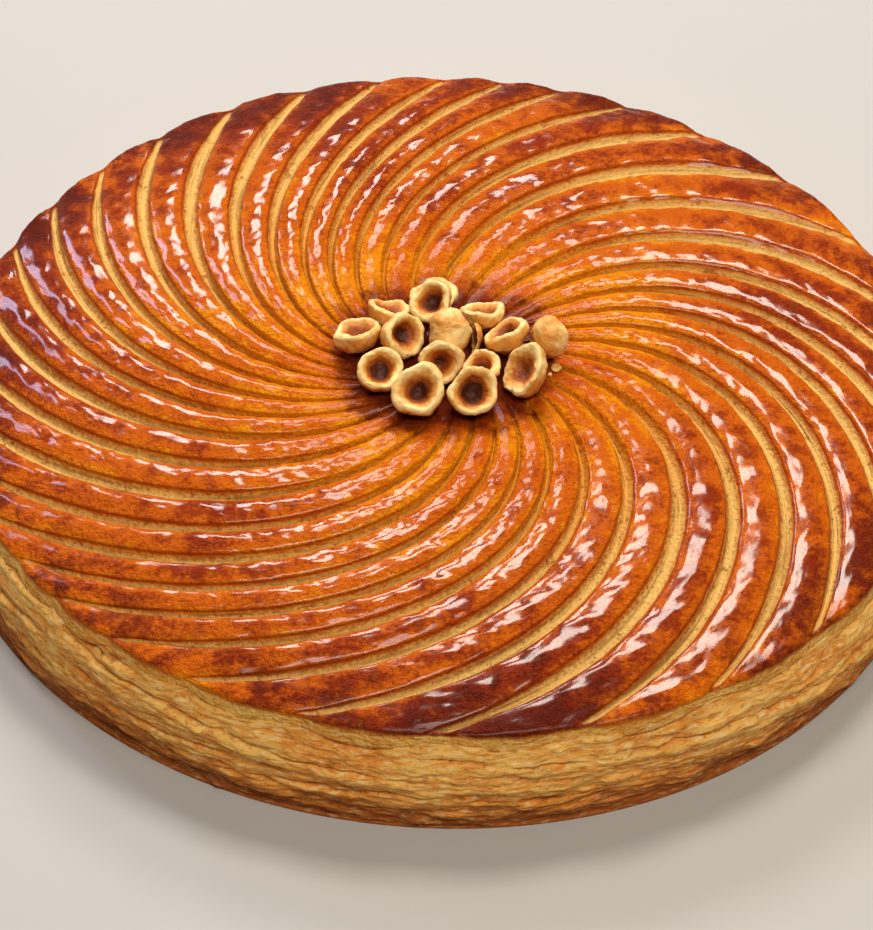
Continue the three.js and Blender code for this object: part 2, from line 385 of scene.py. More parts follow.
def makeLid(material):
    sizes = {
        "Groove depth": lid["grooveDepth"],
        "Lump": lid["lump"],
        "Wrinkle": lid["wrinkle"],
        "Striation": lid["striation"],
        "Speck": lid["speck"],
        "Lip depth": lid["lipDepth"],
    }
    tree, given = newTree("scoredLid", sizes)
    count = cake["grooveCount"]
    columns = count * lid["columnsPerGroove"]
    rows = lid["topRows"] + lid["lipRows"] + 2
    grid, s, row = addGrid(tree, columns, rows)

    # u counts the grooves, with more columns in them than on the ridges, and r is the part of the radius
    u = s * float(count) - lid["crowding"] * sine(s * (fullTurn * count))
    r = calc(tree, "MINIMUM", row / float(lid["topRows"]), 1.0)
    # after the top come the lip, one ring tucked in behind it, and one that closes the lid underneath
    lip = clamp01((row - float(lid["topRows"])) / float(lid["lipRows"]))
    tuck = clamp01(row - float(lid["topRows"] + lid["lipRows"]))
    close = clamp01(row - float(rows - 1))
    angle = grooveAngle(u, r)
    around = s * fullTurn
    ringX = cosine(around) * lid["ringScale"]
    ringY = sine(around) * lid["ringScale"]

    number = calc(tree, "FLOORED_MODULO", calc(tree, "FLOOR", u + 0.5), float(count))
    ridgeNumber = calc(tree, "FLOORED_MODULO", calc(tree, "FLOOR", u), float(count))
    across = u - calc(tree, "FLOOR", u + 0.5)
    away = calc(tree, "ABSOLUTE", across)
    wobble = (noise(tree, joinXyz(tree, ringX, ringY, r * 14.0), 1.0, 2.0) - 0.5) * lid["widthWander"]
    grooveSize = lid["narrowest"] + lid["widthSpread"] * whiteNoise(tree, number)
    width = mix(lid["innerWidth"], lid["outerWidth"], remap(r, 0.25, 0.8))
    pinch = remap(r, lid["rimStart"], 0.998, 1.0, lid["rimPinch"])
    halfWidth = (0.5 * grooveSize * width + wobble) * pinch
    wallWidth = mix(lid["steepWall"], lid["slackWall"], calc(tree, "GREATER_THAN", across, 0.0))
    wall = remap(away, halfWidth * 0.3, halfWidth + wallWidth * pinch)
    wall = calc(tree, "MAXIMUM", wall, remap(r, 0.985, 0.998))
    rise = clamp01((away - halfWidth) / (0.5 - halfWidth))
    crown = 1.0 - (1.0 - rise) * (1.0 - rise)
    ridgeSize = lid["lowestRidge"] + lid["ridgeSpread"] * whiteNoise(tree, ridgeNumber + 40.0)
    relief = lid["floorLevel"] + wall * lid["wallRise"] + crown * lid["crownRise"] * ridgeSize
    share = remap(r, lid["scoreStart"], lid["scoreFull"])
    share = share * remap(r, lid["rimStart"], 1.0, 1.0, lid["rimShare"])
    share = share * (1.0 - lip) * (1.0 - lid["lipCalm"] * lip)

    # what the glaze's material reads: the shaded wall of a groove, the place on the lid, the ridges
    geometry = store(grid, "shade", clamp01(across * -9.0))
    geometry = store(geometry, "ring", r)
    geometry = store(geometry, "lip", lip)
    geometry = store(geometry, "ridge", whiteNoise(tree, ridgeNumber))
    geometry = store(geometry, "crown", crown * wall)
    geometry = store(geometry, "wall", wall)
    geometry = store(geometry, "trim", clamp01(1.0 - tuck))
    wrinkles = noise(tree, joinXyz(tree, ringX, ringY, r * 52.0), 1.0, 3.0, 0.55, 0.4)
    geometry = store(geometry, "wrinkle", wrinkles)
    lines = noise(tree, joinXyz(tree, across * 26.0, r * 5.0, number * 3.1), 1.0, 3.0, 0.6)
    geometry = store(geometry, "lines", lines)

    # the dome is a little uneven, as in the solid
    swell = sine(angle * 2.0 + 0.6) + 0.7 * sine(angle * 3.0 - 1.1 + 2.0 * r)
    topZ = domeHeight(r) + swell * cake["domeUnevenness"] * r * (1.0 - r)
    topZ = topZ + relief * given["Groove depth"] * share
    lipWander = noise(tree, joinXyz(tree, cosine(around) * 6.0, sine(around) * 6.0, 3.0), 1.0, 3.0) - 0.5
    lipDepth = given["Lip depth"] * (0.7 + crown * 0.5 + lipWander * 1.2)
    lipHeight = cake["rimHeight"] - lip * lipDepth
    z = topZ - lip * lipDepth
    nose = crown * wall * lid["noseReach"] * remap(r, 0.9, 1.0) * (1.0 - lip * lip)
    # the lip ends flush with the dough, so that it meets the uneven layers in a ragged line
    proud = lid["lipProud"] * remap(r, 0.99, 1.0) * (1.0 - 1.3 * lip)
    onLip = calc(tree, "GREATER_THAN", lip, 0.0)
    reachShare = mix(r, sideReach(lipHeight), onLip)
    reach = cake["glazeRadius"] * reachShare * outlineAt(angle, r) + nose + proud
    reach = (reach - tuck * lid["tuckDepth"]) * (1.0 - close)
    down = 1.0 - lipHeight / cake["rimHeight"]
    shiftY = cake["spiralShiftY"] * (1.0 - r) + cake["baseShift"][1] * down
    x = reach * cosine(angle) + cake["baseShift"][0] * down
    y = reach * sine(angle) + shiftY
    # the last ring closes on one point
    z = mix(z, cake["rimHeight"] - lid["lipDepth"] * 1.5, close)
    geometry = setPosition(geometry, joinXyz(tree, x * (1.0 - close), y * (1.0 - close), z))
    geometry = mergeClose(geometry)

    # lumps, crosswise wrinkles on the ridges, knife lines in the grooves
    here = Wire(tree, tree.nodes.new("GeometryNodeInputPosition").outputs[0])
    lumps = noise(tree, here, lid["lumpScale"], 3.0, 0.55) - 0.5
    ridgeMask = read(tree, "wall") * remap(read(tree, "ring"), 0.12, 0.4)
    fade = read(tree, "trim") * (1.0 - lid["lipCalm"] * read(tree, "lip"))
    push = lumps * given["Lump"] * (0.35 + 0.65 * ridgeMask)
    push = push + (read(tree, "wrinkle") - 0.5) * given["Wrinkle"] * ridgeMask
    push = push + (read(tree, "lines") - 0.5) * given["Striation"] * (1.0 - read(tree, "wall"))
    specks = noise(tree, here, lid["speckScale"], 2.0, 0.6) - 0.5
    push = push + specks * given["Speck"] * ridgeMask
    geometry = pushOut(geometry, push * 2.0 * fade)
    endTree(flipFaces(geometry), material)
    return growPiece("glazed_lid", tree, sizes)


# The flaky side and base

side = {
    "columns": 980,
    "rows": 88,
    "topHeight": 26.2 * mm,
    "sheetThickness": 2.3 * mm,
    # how far the torn sheets, the soft layers between them and the whole side go in and out
    "layerDepth": 3.4 * mm,
    "smoothDepth": 3.2 * mm,
    "swing": 1.6 * mm,
    # fine sheets: their thickness as a part of the others', how far they go in and out, their rounding
    "fineShare": 0.36,
    "fineDepth": 0.8 * mm,
    "fineRounding": 0.12 * mm,
    "fleckDepth": 0.6 * mm,
    "gapDepth": 0.4 * mm,
    "fineGapDepth": 0.1 * mm,
    # how far the sheets wander up and down in long, middle and short waves
    "wanders": (3.4 * mm, 1.3 * mm, 0.8 * mm),
    "crackWander": 2.6 * mm,
    "hiddenInset": 5.0 * mm,  # of the top edge that lies under the lid
    # long seams: where and half length in degrees round, height in mm, slope in mm per radian,
    # then depth, half thickness and the ledge below in mm
    "cracks": [
        (246, 26, 19.6, -9, 0.8, 0.4, 1.0),
        (229, 5, 24.2, 6, 1.3, 0.4, 0.5),
        (214, 9, 17.5, 10, 1.2, 0.4, 0.7),
        (240, 9, 12.5, 8, 1.0, 0.35, 0.6),
        (262, 10, 11.0, 4, 0.9, 0.35, 0.5),
        (284, 10, 20.5, -5, 0.9, 0.35, 0.5),
        (306, 24, 17.5, -10, 0.9, 0.4, 1.1),
        (330, 10, 9.0, 5, 0.9, 0.35, 0.5),
        (0, 16, 17.0, 5, 1.0, 0.4, 0.9),
        (32, 12, 12.0, 6, 1.0, 0.4, 0.6),
        (68, 20, 17.5, -7, 1.1, 0.4, 1.1),
        (104, 11, 12.0, 7, 1.2, 0.45, 0.7),
        (140, 20, 18.0, 4, 1.0, 0.4, 1.0),
        (176, 14, 11.5, -7, 1.0, 0.4, 0.8),
    ],
}


def makeSide(material):
    sizes = {
        "Layer depth": side["layerDepth"],
        "Fine depth": side["fineDepth"],
        "Fleck depth": side["fleckDepth"],
        "Sheet thickness": side["sheetThickness"],
    }
    tree, given = newTree("flakySide", sizes)
    grid, s, row = addGrid(tree, side["columns"], side["rows"])
    rows = float(side["rows"])
    angle = s * fullTurn
    # row 0 is the top's middle, row 1 lies hidden under the lid, the last row is the base's middle
    inTop = 1.0 - clamp01(row)
    inBase = clamp01(row - (rows - 1.0))
    along = clamp01((row - 2.0) / (rows - 3.0))
    hidden = 1.0 - clamp01(row - 1.0)
    height = side["topHeight"] * (1.0 - along)
    ringX = cosine(angle)
    ringY = sine(angle)

    def ringNoise(roundScale, heightScale, seed, detail=2.0, roughness=0.5):
        place = joinXyz(tree, ringX * roundScale, ringY * roundScale + seed, height * heightScale)
        return noise(tree, place, 1.0, detail, roughness) - 0.5

    longWander, middleWander, shortWander = side["wanders"]
    wander = ringNoise(2.2, 30.0, 5.0) * longWander + ringNoise(13.0, 20.0, 71.0) * middleWander
    lifted = height + wander + ringNoise(34.0, 60.0, 83.0) * shortWander

    def sheets(thickness, roundScale, seed):
        # sheets of dough that stand out by different amounts, with gaps that open here and there
        place = lifted / thickness
        number = calc(tree, "FLOOR", place)
        inside = place - number
        roundX = ringX * roundScale
        roundY = ringY * roundScale
        apart = 5.37  # a step in the noise from one sheet to the next
        own = noise(tree, joinXyz(tree, roundX, roundY, number * apart + seed), 1.0, 2.0, 0.6)
        nextPlace = joinXyz(tree, roundX, roundY, number * apart + (seed + apart))
        following = noise(tree, nextPlace, 1.0, 2.0, 0.6)
        reach = mix(own, following, remap(inside, 0.55, 1.0)) - 0.5
        joint = calc(tree, "FLOOR", place + 0.5)
        nearJoint = calc(tree, "ABSOLUTE", place - joint)
        openRing = joinXyz(tree, roundX * 1.7, roundY * 1.7, joint * 3.91 + seed * 2.0)
        opening = remap(noise(tree, openRing, 1.0, 2.0, 0.6), 0.5, 0.7)
        return reach, remap(nearJoint, 0.0, 0.36, 1.0, 0.0) * opening, sine(inside * math.pi)

    layers, gapLine, _ = sheets(given["Sheet thickness"], 7.0, 9.0)
    fine, fineGap, fineRound = sheets(given["Sheet thickness"] * side["fineShare"], 16.0, 41.0)
    fleck = ringNoise(70.0, 600.0, 23.0, 2.0, 0.6)
    crumb = ringNoise(34.0, 300.0, 29.0, 3.0, 0.65)
    swing = ringNoise(1.6, 45.0, 31.0)
    smoothPlace = joinXyz(tree, ringX * 9.0, ringY * 9.0, lifted * 420.0)
    smoothLayers = noise(tree, smoothPlace, 1.0, 3.0, 0.6) - 0.5
    calm = remap(ringNoise(4.5, 160.0, 41.0), -0.2, 0.12)

    crackDepth = 0.0
    ledges = 0.0
    for where, half, level, slope, depth, thick, ledge in side["cracks"]:
        offset = angle - math.radians(where)
        outerEnd = math.cos(math.radians(half))
        innerEnd = math.cos(math.radians(half * 0.45))
        window = remap(cosine(offset), outerEnd, innerEnd)
        middle = level * mm + sine(offset) * (slope * mm)
        middle = middle + ringNoise(16.0, 0.0, float(where)) * side["crackWander"]
        # above counts half thicknesses of the seam, up from its middle
        above = (height - middle) / (thick * mm)
        cut = remap(calc(tree, "ABSOLUTE", above), 0.0, 1.6, 1.0, 0.0)
        crackDepth = crackDepth + window * cut * (depth * mm)
        step = remap(above, -0.6, 0.4, 1.0, 0.0) * remap(above, -14.0, -0.6)
        step = step - remap(above, 0.4, 8.0, 0.5, 0.0)
        ledges = ledges + window * step * (ledge * mm)

    # the relief fades out at the table and under the lid
    nearTop = remap(height, side["topHeight"] - 1.0 * mm, side["topHeight"], 1.0, 0.3)
    openEdge = remap(height, 0.0, 0.7 * mm) * nearTop
    gaps = crackDepth + gapLine * side["gapDepth"] + fineGap * side["fineGapDepth"]
    push = layers * given["Layer depth"] * (0.5 + calm) + fine * given["Fine depth"]
    push = push + fineRound * side["fineRounding"]
    push = push + (fleck + crumb) * given["Fleck depth"] * 1.6
    push = push + smoothLayers * side["smoothDepth"] + ledges
    push = (push - gaps) * openEdge
    push = push + swing * side["swing"] * remap(height, 0.0, 4.0 * mm, 0.4, 1.0)

    # what the material of the dough reads, height and seams in mm
    geometry = store(grid, "height", height * 1000.0)
    geometry = store(geometry, "layer", layers * 0.6 + smoothLayers * 0.8 + ledges * 120.0)
    geometry = store(geometry, "fine", fine + crumb * 0.6)
    # depth of the seams and gaps, which the dough's material darkens as painted shade
    geometry = store(geometry, "crack", gaps * 1000.0)
    down = 1.0 - height / cake["rimHeight"]
    reach = cake["glazeRadius"] * sideReach(height) * outlineAt(angle, 1.0) + push
    reach = reach - hidden * side["hiddenInset"]
    reach = reach * (1.0 - inTop) * (1.0 - inBase)
    x = reach * ringX + cake["baseShift"][0] * down
    y = reach * ringY + cake["baseShift"][1] * down
    z = height * (1.0 - inBase)
    geometry = setPosition(geometry, joinXyz(tree, x, y, z))
    geometry = mergeClose(geometry)
    endTree(flipFaces(geometry), material)
    return growPiece("flaky_side", tree, sizes)


# Hazelnut halves: the solids' boxes give their places, this gives their shapes

nut = {
    "sides": 72,
    "backRows": 22,
    "rimRows": 10,
    "hollowRows": 20,
    # parts of the radius: depth of the back, width of the hollow, and its depth as a part of the back's;
    # the darkening of the back and the hollow is partly roast colour and partly painted shade on backs
    # that face down and in deep hollows
    "shape": {"back": 0.92, "hollow": 0.6, "dig": 0.42, "roast": 0.4},
    "hollowPower": 1.7,
    # uneven outline and rim, as parts of the radius
    "outlineOrders": (2, 3, 5),
    "outlineSize": 0.055,
    "rimSizes": {2: 0.05, 3: 0.03},
    # relief: scale of the noise and how far it goes, then how far the whole is set back
    "lumps": (190.0, 1.5 * mm),
    "dents": (420.0, 1.1 * mm),
    "grain": (1100.0, 0.6 * mm),
    "inset": 0.2 * mm,
    # name, width in mm, hollow faces (degrees round, degrees up), own shape
    "halves": [
        ("back_far", 13.0, 255, 80, {"back": 0.45, "dig": 0.3, "roast": 0.1}),
        ("back_left", 11.5, 60, 64, {"roast": 0.5}),
        ("back_right", 12.0, 100, 66, {"roast": 0.45}),
        ("back", 11.5, 235, 55, {"roast": 0.75}),
        ("right_far", 11.0, 60, -25, {"roast": 0.15}),
        ("left_middle", 12.6, 325, 34, {"roast": 0.45}),
        ("dome", 12.0, 70, -48, {"roast": 0.0}),
        ("right", 12.0, 150, 58, {"roast": 0.8}),
        ("sliver", 8.4, 185, 8, {"hollow": 0.7, "back": 0.45}),
        ("under", 10.0, 255, 75, {}),
        ("middle", 11.5, 268, 34, {}),
        ("left", 12.6, 120, 72, {"hollow": 0.62, "roast": 0.35}),
        ("right_front", 13.6, 205, 42, {"hollow": 0.72, "dig": 0.16, "roast": 0.1}),
        ("front_left", 12.0, 290, 62, {"hollow": 0.66, "roast": 0.8}),
        ("front", 13.8, 262, 60, {"roast": 0.5}),
        ("front_right", 13.0, 284, 56, {"hollow": 0.72, "dig": 0.5, "roast": 1.0}),
    ],
    "firstSeed": 11,
}


def seededRandom(seed):
    # the same generator as the solids use, so that both have the same uneven outline
    state = seed
    modulus = 2 ** 32
    while True:
        state = (state * 1664525 + 1013904223) % modulus
        yield state / modulus


def nutPhases():
    labels = [f"Outline phase {order}" for order in nut["outlineOrders"]]
    return labels + [f"Rim phase {order}" for order in nut["rimSizes"]]


def nutInputs(width, seed, shape, phases):
    values = {"Radius": width / 2 * mm, "Seed": seed}
    values.update({label.capitalize(): value for label, value in shape.items()})
    values.update(zip(nutPhases(), phases))
    return values


def makeNutTree(material):
    plain = nutInputs(12.0, 1.0, nut["shape"], [0.0] * len(nutPhases()))
    tree, given = newTree("hazelnutHalf", plain)
    backRows, rimRows, hollowRows = nut["backRows"], nut["rimRows"], nut["hollowRows"]
    grid, s, row = addGrid(tree, nut["sides"], backRows + rimRows + hollowRows)
    around = s * fullTurn
    radius = given["Radius"]
    lipSize = (1.0 - given["Hollow"]) * 0.5
    middle = 1.0 - lipSize
    backAngle = (clamp01(row / float(backRows)) - 1.0) * (math.pi / 2)
    rimAngle = clamp01((row - float(backRows)) / float(rimRows)) * (math.pi / 2)
    fall = clamp01((row - float(backRows + rimRows)) / float(hollowRows))
    onRim = calc(tree, "GREATER_THAN", row, float(backRows) + 0.5)
    inHollow = calc(tree, "GREATER_THAN", row, float(backRows + rimRows) + 0.5)
    # from the pole of the back over the rim's crest, then down a funnel to its middle
    outR = cosine(backAngle)
    outZ = given["Back"] * sine(backAngle)
    rimR = middle + lipSize * cosine(rimAngle)
    rimZ = lipSize * sine(rimAngle)
    dip = sine(fall * (math.pi / 2)) ** nut["hollowPower"]
    dipR = middle * (1.0 - fall)
    dipZ = mix(lipSize, given["Back"] * given["Dig"] * -1.0, dip)
    r = mix(mix(outR, rimR, onRim), dipR, inHollow)
    z = mix(mix(outZ, rimZ, onRim), dipZ, inHollow)
    outline = 0.0
    for order in nut["outlineOrders"]:
        size = nut["outlineSize"] / math.sqrt(order - 1)
        outline = outline + size * cosine(around * float(order) - given[f"Outline phase {order}"])
    rim = 0.0
    for order, size in nut["rimSizes"].items():
        rim = rim + size * cosine(around * float(order) - given[f"Rim phase {order}"])
    lift = rim * remap(r + z, given["Back"] * 0.2, 1.0)
    reach = r * (1.0 + outline) * radius
    geometry = store(grid, "depth", inHollow * dip)
    geometry = store(geometry, "rim", onRim * sine(rimAngle) * (1.0 - dip))
    geometry = store(geometry, "back", clamp01(backAngle * (-2.0 / math.pi)))
    geometry = store(geometry, "nutSeed", given["Seed"])
    geometry = store(geometry, "roast", given["Roast"])
    place = joinXyz(tree, reach * cosine(around), reach * sine(around), (z + lift) * radius)
    geometry = mergeClose(setPosition(geometry, place))

    # each nut cuts its own lumps, dents and grain out of the same noise
    here = Wire(tree, tree.nodes.new("GeometryNodeInputPosition").outputs[0])
    hereX, hereY, hereZ = splitXyz(here)
    seeded = joinXyz(tree, hereX, hereY, hereZ + given["Seed"] * 0.05)
    lumpScale, lumpSize = nut["lumps"]
    dentScale, dentSize = nut["dents"]
    grainScale, grainSize = nut["grain"]
    push = (noise(tree, seeded, lumpScale, 1.0, 0.5) - 0.5) * lumpSize
    push = push + (noise(tree, seeded, dentScale, 2.0, 0.55) - 0.5) * dentSize
    push = push + (noise(tree, seeded, grainScale, 2.0, 0.6) - 0.5) * grainSize
    geometry = pushOut(geometry, push - nut["inset"])
    endTree(geometry, material)
    return tree


def makeNuts(material):
    tree = makeNutTree(material)
    pieces = []
    for index, (name, width, around, up, own) in enumerate(nut["halves"]):
        shape = {**nut["shape"], **own}
        draw = seededRandom(nut["firstSeed"] + index)
        phases = [fullTurn * next(draw) for _ in nutPhases()]
        piece = growPiece(f"nut_{name}", tree, nutInputs(width, index + 1, shape, phases))
        azimuth, rise = math.radians(around), math.radians(up)
        flat = math.cos(rise)
        facing = Vector((math.cos(azimuth) * flat, math.sin(azimuth) * flat, math.sin(rise)))
        turn = Vector((0, 0, 1)).rotation_difference(facing).to_matrix().to_4x4()
        piece.data.transform(turn)
        # the middle of its box goes to the middle of the solid's box
        node = f"hazelnut_{name}"
        low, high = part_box(node)
        piece.data.transform(Matrix.Translation((low + high) / 2 - boxMiddle(piece.data)))
        pieces.append((piece, node))
    return pieces


# Chips of nut that lie on the lid beside the heap, too small for solids of their own

chip = {
    # x, y from the cake's middle, radius
    "bits": [
        (28.0 * mm, -7.3 * mm, 1.25 * mm),
        (26.4 * mm, -9.4 * mm, 0.6 * mm),
    ],
    "flatness": 0.75,
    "unevenness": 0.4,
    "raggedShare": 0.3,
    "lift": 0.8,  # of the radius, the rest of its lower half is sunk in the glaze
    "spread": 9000.0,  # moves each chip to a part of the noise of its own
    "paleness": 0.9,
}


def makeChips(material, lidPiece, shift):
    shell = bmesh.new()
    for x, y, radius in chip["bits"]:
        above = Vector((x + shift.x, y + shift.y, 2.0 * cake["centreHeight"]))
        _, landing, _, _ = lidPiece.ray_cast(above, Vector((0, 0, -1)))
        made = bmesh.ops.create_icosphere(shell, subdivisions=4, radius=1.0)
        for vert in made["verts"]:
            lump = lumpNoise.noise(vert.co * 0.9 + Vector((x, y, radius)) * chip["spread"])
            ragged = lumpNoise.noise(vert.co * 2.5 + Vector((y, x, radius)) * chip["spread"])
            size = radius * (1.0 + (lump + ragged * chip["raggedShare"]) * chip["unevenness"])
            height = (vert.co.z + chip["lift"]) * chip["flatness"]
            vert.co = landing + Vector((vert.co.x, vert.co.y, height)) * size
    bmesh.ops.recalc_face_normals(shell, faces=shell.faces)
    mesh = bpy.data.meshes.new("nut_chips")
    shell.to_mesh(mesh)
    shell.free()
    mesh.shade_smooth()
    # the nuts' material is pale where this is high
    pale = mesh.attributes.new("rim", "FLOAT", "POINT")
    pale.data.foreach_set("value", [chip["paleness"]] * len(mesh.vertices))
    mesh.materials.append(material)
    return addPiece(mesh)


# Shaders

def newMaterial(name):
    material = bpy.data.materials.new(name)
    material.use_nodes = True
    tree = material.node_tree
    tree.nodes.clear()
    output = tree.nodes.new("ShaderNodeOutputMaterial")
    principled = tree.nodes.new("ShaderNodeBsdfPrincipled")
    tree.links.new(principled.outputs[0], output.inputs[0])
    return material, tree, principled


def attribute(tree, name):
    node = tree.nodes.new("ShaderNodeAttribute")
    node.attribute_name = name
    return Wire(tree, node.outputs["Fac"])


def objectPlace(tree):
    return Wire(tree, tree.nodes.new("ShaderNodeTexCoord").outputs["Object"])


def rgb(red, green, blue):
    # a screen colour, 0 to 255, as the linear colour that the shader takes
    def linear(value):
        v = value / 255
        return v / 12.92 if v <= 0.04045 else ((v + 0.055) / 1.055) ** 2.4
    return (linear(red), linear(green), linear(blue), 1.0)


def mixColor(tree, low, high, share):
    node = tree.nodes.new("ShaderNodeMix")
    node.data_type = "RGBA"
    node.clamp_factor = True
    plug(tree, node.inputs[0], share)
    plug(tree, node.inputs[6], low)
    plug(tree, node.inputs[7], high)
    return Wire(tree, node.outputs[2])


def bump(tree, height, strength, distance):
    node = tree.nodes.new("ShaderNodeBump")
    node.inputs["Strength"].default_value = strength
    node.inputs["Distance"].default_value = distance
    plug(tree, node.inputs["Height"], height)
    return Wire(tree, node.outputs[0])


def newGroup(name, inputs, outputs):
    # outputs maps each label to its kind of socket
    group = bpy.data.node_groups.new(name, "ShaderNodeTree")
    for label, value in inputs.items():
        kind = "NodeSocketColor" if isinstance(value, tuple) else "NodeSocketFloat"
        socket = group.interface.new_socket(label, in_out="INPUT", socket_type=kind)
        socket.default_value = value
    for label, kind in outputs.items():
        group.interface.new_socket(label, in_out="OUTPUT", socket_type=kind)
    groupInput = group.nodes.new("NodeGroupInput")
    groupOutput = group.nodes.new("NodeGroupOutput")
    given = {label: Wire(group, groupInput.outputs[label]) for label in inputs}
    return group, given, groupOutput


def useGroup(tree, group, values):
    node = tree.nodes.new("ShaderNodeGroup")
    node.node_tree = group
    for label, value in values.items():
        plug(tree, node.inputs[label], value)
    return {output.name: Wire(tree, output) for output in node.outputs}


crust = {
    "pale": rgb(255, 197, 98),
    "tan": rgb(240, 150, 54),
    "brown": rgb(170, 86, 18),
    "dark": rgb(108, 50, 12),
    "flake": rgb(255, 220, 148),
    "bendScale": 60.0,
    "streakScale": 150.0,
    "patchScale": 34.0,
    "fleckScale": 620.0,
    "dashScale": 330.0,
    "bump": 0.5,
    "specular": 0.35,
}


def makeCrustGroup():
    # baked dough seen at a cut edge: layered streaks, paler above and browner near the base, partly from
    # real browning and partly as painted shade towards the table
    inputs = {"Height": 10.0, "Layer": 0.0, "Fine": 0.0, "Gap": 0.0}
    group, given, output = newGroup("bakedDough", inputs, {
        "Color": "NodeSocketColor",
        "Relief": "NodeSocketFloat",
        "Roughness": "NodeSocketFloat",
    })
    place = objectPlace(group)
    x, y, z = splitXyz(place)
    # streaks, flecks and dashes are noise squeezed in height, and bend moves it up and down
    bend = noise(group, place, crust["bendScale"], 2.0, 0.5) * (6.0 * mm)
    streaks = noise(group, joinXyz(group, x, y, (z + bend) * 8.0), crust["streakScale"], 4.0, 0.62)
    patches = noise(group, place, crust["patchScale"], 3.0, 0.55)
    flecks = noise(group, joinXyz(group, x, y, z * 2.2), crust["fleckScale"], 3.0, 0.6)
    dashPlace = joinXyz(group, x, y, (z + bend) * 5.0 + 3.0)
    dashes = noise(group, dashPlace, crust["dashScale"], 2.0, 0.6)
    # partly painted shade: the dough is browner towards the table, most in its lowest 4 mm, over the
    # real browning of its base
    base = remap(given["Height"], 0.0, 14.0, 1.05, 0.12) + remap(given["Height"], 0.0, 4.0, 0.2, 0.0)
    brownness = base + (patches - 0.5) + (streaks - 0.5) * 1.7
    brownness = brownness - given["Layer"] * 1.2 - given["Fine"] * 0.4
    color = mixColor(group, crust["pale"], crust["tan"], remap(brownness, -0.15, 0.42))
    color = mixColor(group, color, crust["brown"], remap(brownness, 0.38, 1.1))
    color = mixColor(group, color, crust["brown"], remap(flecks, 0.56, 0.72) * 0.6)
    flakeShare = remap(given["Height"], 2.0, 12.0, 0.25, 0.75)
    color = mixColor(group, color, crust["flake"], remap(dashes, 0.52, 0.68) * flakeShare)
    color = mixColor(group, color, crust["brown"], remap(dashes, 0.3, 0.44, 0.55, 0.0))
    # painted shade: seams and gaps between the sheets are darkened
    color = mixColor(group, color, crust["dark"], remap(given["Gap"], 0.35, 1.4) * 0.35)
    group.links.new(color.socket, output.inputs["Color"])
    group.links.new((streaks * 0.5 + flecks * 0.3 + dashes * 0.4).socket, output.inputs["Relief"])
    group.links.new((0.62 + patches * 0.2).socket, output.inputs["Roughness"])
    return group


def makeSideMaterial(crustGroup):
    material, tree, principled = newMaterial("flakyPastry")
    made = useGroup(tree, crustGroup, {
        "Height": attribute(tree, "height"),
        "Layer": attribute(tree, "layer"),
        "Fine": attribute(tree, "fine"),
        "Gap": attribute(tree, "crack"),
    })
    plug(tree, principled.inputs["Base Color"], made["Color"])
    plug(tree, principled.inputs["Roughness"], made["Roughness"])
    plug(tree, principled.inputs["Normal"], bump(tree, made["Relief"], crust["bump"], 1.0 * mm))
    principled.inputs["Specular IOR Level"].default_value = crust["specular"]
    return material


glaze = {
    "amber": rgb(238, 142, 5),
    "orange": rgb(212, 98, 4),
    "russet": rgb(148, 46, 4),
    "mahogany": rgb(98, 26, 6),
    "edgeTan": rgb(196, 112, 34),
    "grooveGold": rgb(216, 134, 28),
    "groovePale": rgb(238, 190, 108),
    "grooveOlive": rgb(140, 84, 26),
    "patchScale": 26.0,
    "mottleScale": 190.0,
    "fineScale": 850.0,
    "roughest": 0.55,
    "smoothest": 0.38,
    "coat": 0.55,
    "coatRoughness": 0.135,
    "specular": 0.05,
    "bump": 0.9,
}


